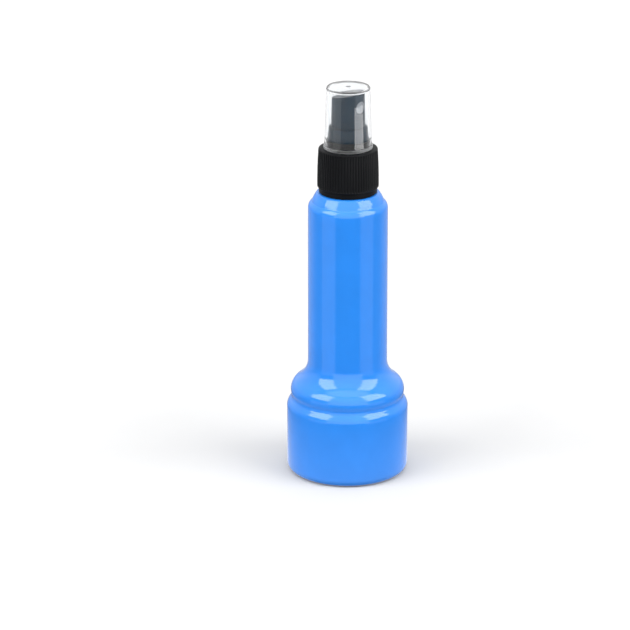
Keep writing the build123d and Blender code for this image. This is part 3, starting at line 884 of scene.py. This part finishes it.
def make_floor():
    size = 6000.0
    floor = new_object(
        "floor",
        [(-size, -size, -0.02), (size, -size, -0.02), (size, size, -0.02), (-size, size, -0.02)],
        [(0, 1, 2, 3)],
    )
    recipe = Recipe("pale_floor", (0.46, 0.46, 0.46), 0.8)
    recipe.vary_colour(recipe.noise(40.0, 3.0), (0.455, 0.455, 0.455), (0.465, 0.465, 0.465))
    recipe.set(Specular_IOR_Level=0.0)
    assign(floor, recipe.material)
    floor.visible_glossy = False


def hide_from_all_but_mirrors(card):
    card.visible_camera = False
    card.visible_diffuse = False
    card.visible_shadow = False
    card.visible_transmission = False


def make_bounce_card():
    """Bright ring on the floor that only mirrors see: the sheen near the foot of the bottle."""
    inner_r, outer_r, sides = 24.0, 110.0, 96
    ring = [(cos(2 * pi * i / sides), sin(2 * pi * i / sides)) for i in range(sides)]
    vertices = [(x * r, y * r, -0.01) for r in (inner_r, outer_r) for x, y in ring]
    faces = [(i, sides + i, sides + (i + 1) % sides, (i + 1) % sides) for i in range(sides)]
    card = new_object("bounce_card", vertices, faces)
    recipe = Recipe("bounce_glow", (0, 0, 0), 1.0)
    length = recipe.nodes.new("ShaderNodeVectorMath")
    length.operation = "LENGTH"
    recipe.link(recipe.place, length.inputs[0])
    glow = recipe.remap(length.outputs["Value"], inner_r * MM, outer_r * MM, 1.2, 0.0)
    recipe.set(Emission_Color=(1, 1, 1, 1), Specular_IOR_Level=0.0)
    recipe.link(glow, recipe.shader.inputs["Emission Strength"])
    assign(card, recipe.material)
    hide_from_all_but_mirrors(card)


def make_strip_card():
    """Upright glowing card close to the hood's right, which only mirrors see."""
    reach, low_z, high_z, parts = 60.0, 112.0, 133.0, 12
    first, last = CAMERA_AZIMUTH + radians(30), CAMERA_AZIMUTH + radians(74)
    angles = [first + (last - first) * i / parts for i in range(parts + 1)]
    vertices = [(reach * sin(a), -reach * cos(a), z) for z in (low_z, high_z) for a in angles]
    above = parts + 1
    faces = [(i, above + i, above + i + 1, i + 1) for i in range(parts)]
    card = new_object("strip_card", vertices, faces)
    recipe = Recipe("strip_glow", (0, 0, 0), 1.0)
    recipe.set(Emission_Color=(1, 1, 1, 1), Emission_Strength=6.0, Specular_IOR_Level=0.0)
    assign(card, recipe.material)
    hide_from_all_but_mirrors(card)


class Sky:
    """Studio light as a world: soft-edged panels placed by azimuth and elevation round the object."""

    def __init__(self):
        world = bpy.data.worlds.new("studio")
        scene.world = world
        world.use_nodes = True
        self.nodes = world.node_tree.nodes
        self.links = world.node_tree.links
        self.background = self.nodes["Background"]
        self.background.inputs["Color"].default_value = (1, 1, 1, 1)
        direction = self.nodes.new("ShaderNodeTexCoord").outputs["Generated"]
        turn = self.nodes.new("ShaderNodeVectorRotate")
        turn.rotation_type = "Z_AXIS"
        turn.inputs["Angle"].default_value = -CAMERA_AZIMUTH
        self.links.new(direction, turn.inputs["Vector"])
        split = self.nodes.new("ShaderNodeSeparateXYZ")
        self.links.new(turn.outputs["Vector"], split.inputs["Vector"])
        backwards = self.math("MULTIPLY", split.outputs["Y"], -1.0)
        self.azimuth = self.math("ARCTAN2", split.outputs["X"], backwards)
        self.elevation = self.math("ARCSINE", split.outputs["Z"])
        self.total = None

    def math(self, operation, first, second=None):
        node = self.nodes.new("ShaderNodeMath")
        node.operation = operation
        for socket, value in zip(node.inputs, (first, second)):
            if value is None:
                continue
            if isinstance(value, (int, float)):
                socket.default_value = value
            else:
                self.links.new(value, socket)
        return node.outputs["Value"]

    def band(self, angle, low, high, edge):
        """1 between two angles in degrees, falling softly to 0 over edge degrees at each."""
        centre = radians((low + high) / 2)
        half = radians((high - low) / 2)
        offset = self.math("ABSOLUTE", self.math("SUBTRACT", angle, centre))
        node = self.nodes.new("ShaderNodeMapRange")
        node.interpolation_type = "SMOOTHSTEP"
        node.inputs["From Min"].default_value = half + radians(edge) / 2
        node.inputs["From Max"].default_value = half - radians(edge) / 2
        self.links.new(offset, node.inputs["Value"])
        return node.outputs["Result"]

    def panel(self, azimuth, elevation, radiance, edge=(3.0, 3.0)):
        """Adds a card between two azimuths and two elevations, in degrees.

        Azimuth 0 is behind the camera and 90 is to its right.
        """
        across = self.band(self.azimuth, *azimuth, edge[0])
        up = self.band(self.elevation, *elevation, edge[1])
        light = self.math("MULTIPLY", self.math("MULTIPLY", across, up), radiance)
        self.total = light if self.total is None else self.math("ADD", self.total, light)

    def finish(self, camera_colour):
        """The white sweep is what the camera sees, straight or through the clear hood."""
        light_path = self.nodes.new("ShaderNodeLightPath")
        is_camera = light_path.outputs["Is Camera Ray"]
        is_through = light_path.outputs["Is Transmission Ray"]
        sees_sweep = self.math("MAXIMUM", is_camera, is_through)
        backdrop = self.nodes.new("ShaderNodeBackground")
        backdrop.inputs["Color"].default_value = (*camera_colour, 1)
        mix = self.nodes.new("ShaderNodeMixShader")
        output = self.nodes["World Output"]
        self.links.new(self.total, self.background.inputs["Strength"])
        self.links.new(sees_sweep, mix.inputs["Fac"])
        self.links.new(self.background.outputs["Background"], mix.inputs[1])
        self.links.new(backdrop.outputs["Background"], mix.inputs[2])
        self.links.new(mix.outputs["Shader"], output.inputs["Surface"])


def make_light():
    """Two tall softboxes, a front fill, an overhead and a bright sweep behind the object."""
    sky = Sky()
    left_low = (-78, -36)
    right_low = (36, 78)
    everywhere = (-200, 200)
    # Even light all round, less of it low in front
    sky.panel(everywhere, (-95, 95), 0.30)
    sky.panel((-36, 40), (-60, -6), -0.20)
    # The sweep behind, brighter above the horizon than below it
    for turn in (0, -360):
        sky.panel((86 + turn, 274 + turn), (2, 60), 0.85, (26, 10))
        sky.panel((110 + turn, 250 + turn), (-60, 0), 0.4, (30, 6))
    # Front fill, softboxes and overhead
    sky.panel((-39, 42), (-6, 61), 1.6, (3, 4))
    sky.panel((42, 90), (20, 61), 6.3)
    sky.panel((-86, -39), (20, 61), 6.3)
    sky.panel(everywhere, (66, 120), 2.2, (5, 12))
    # The softboxes' light on the ground, as the upright walls see it
    sky.panel(right_low, (-60, 4), 0.65)
    sky.panel(left_low, (-60, 4), 0.65)
    sky.finish((1.0, 1.0, 1.0))


make_floor()
make_bounce_card()
make_strip_card()
make_light()
scene.view_settings.view_transform = "Standard"
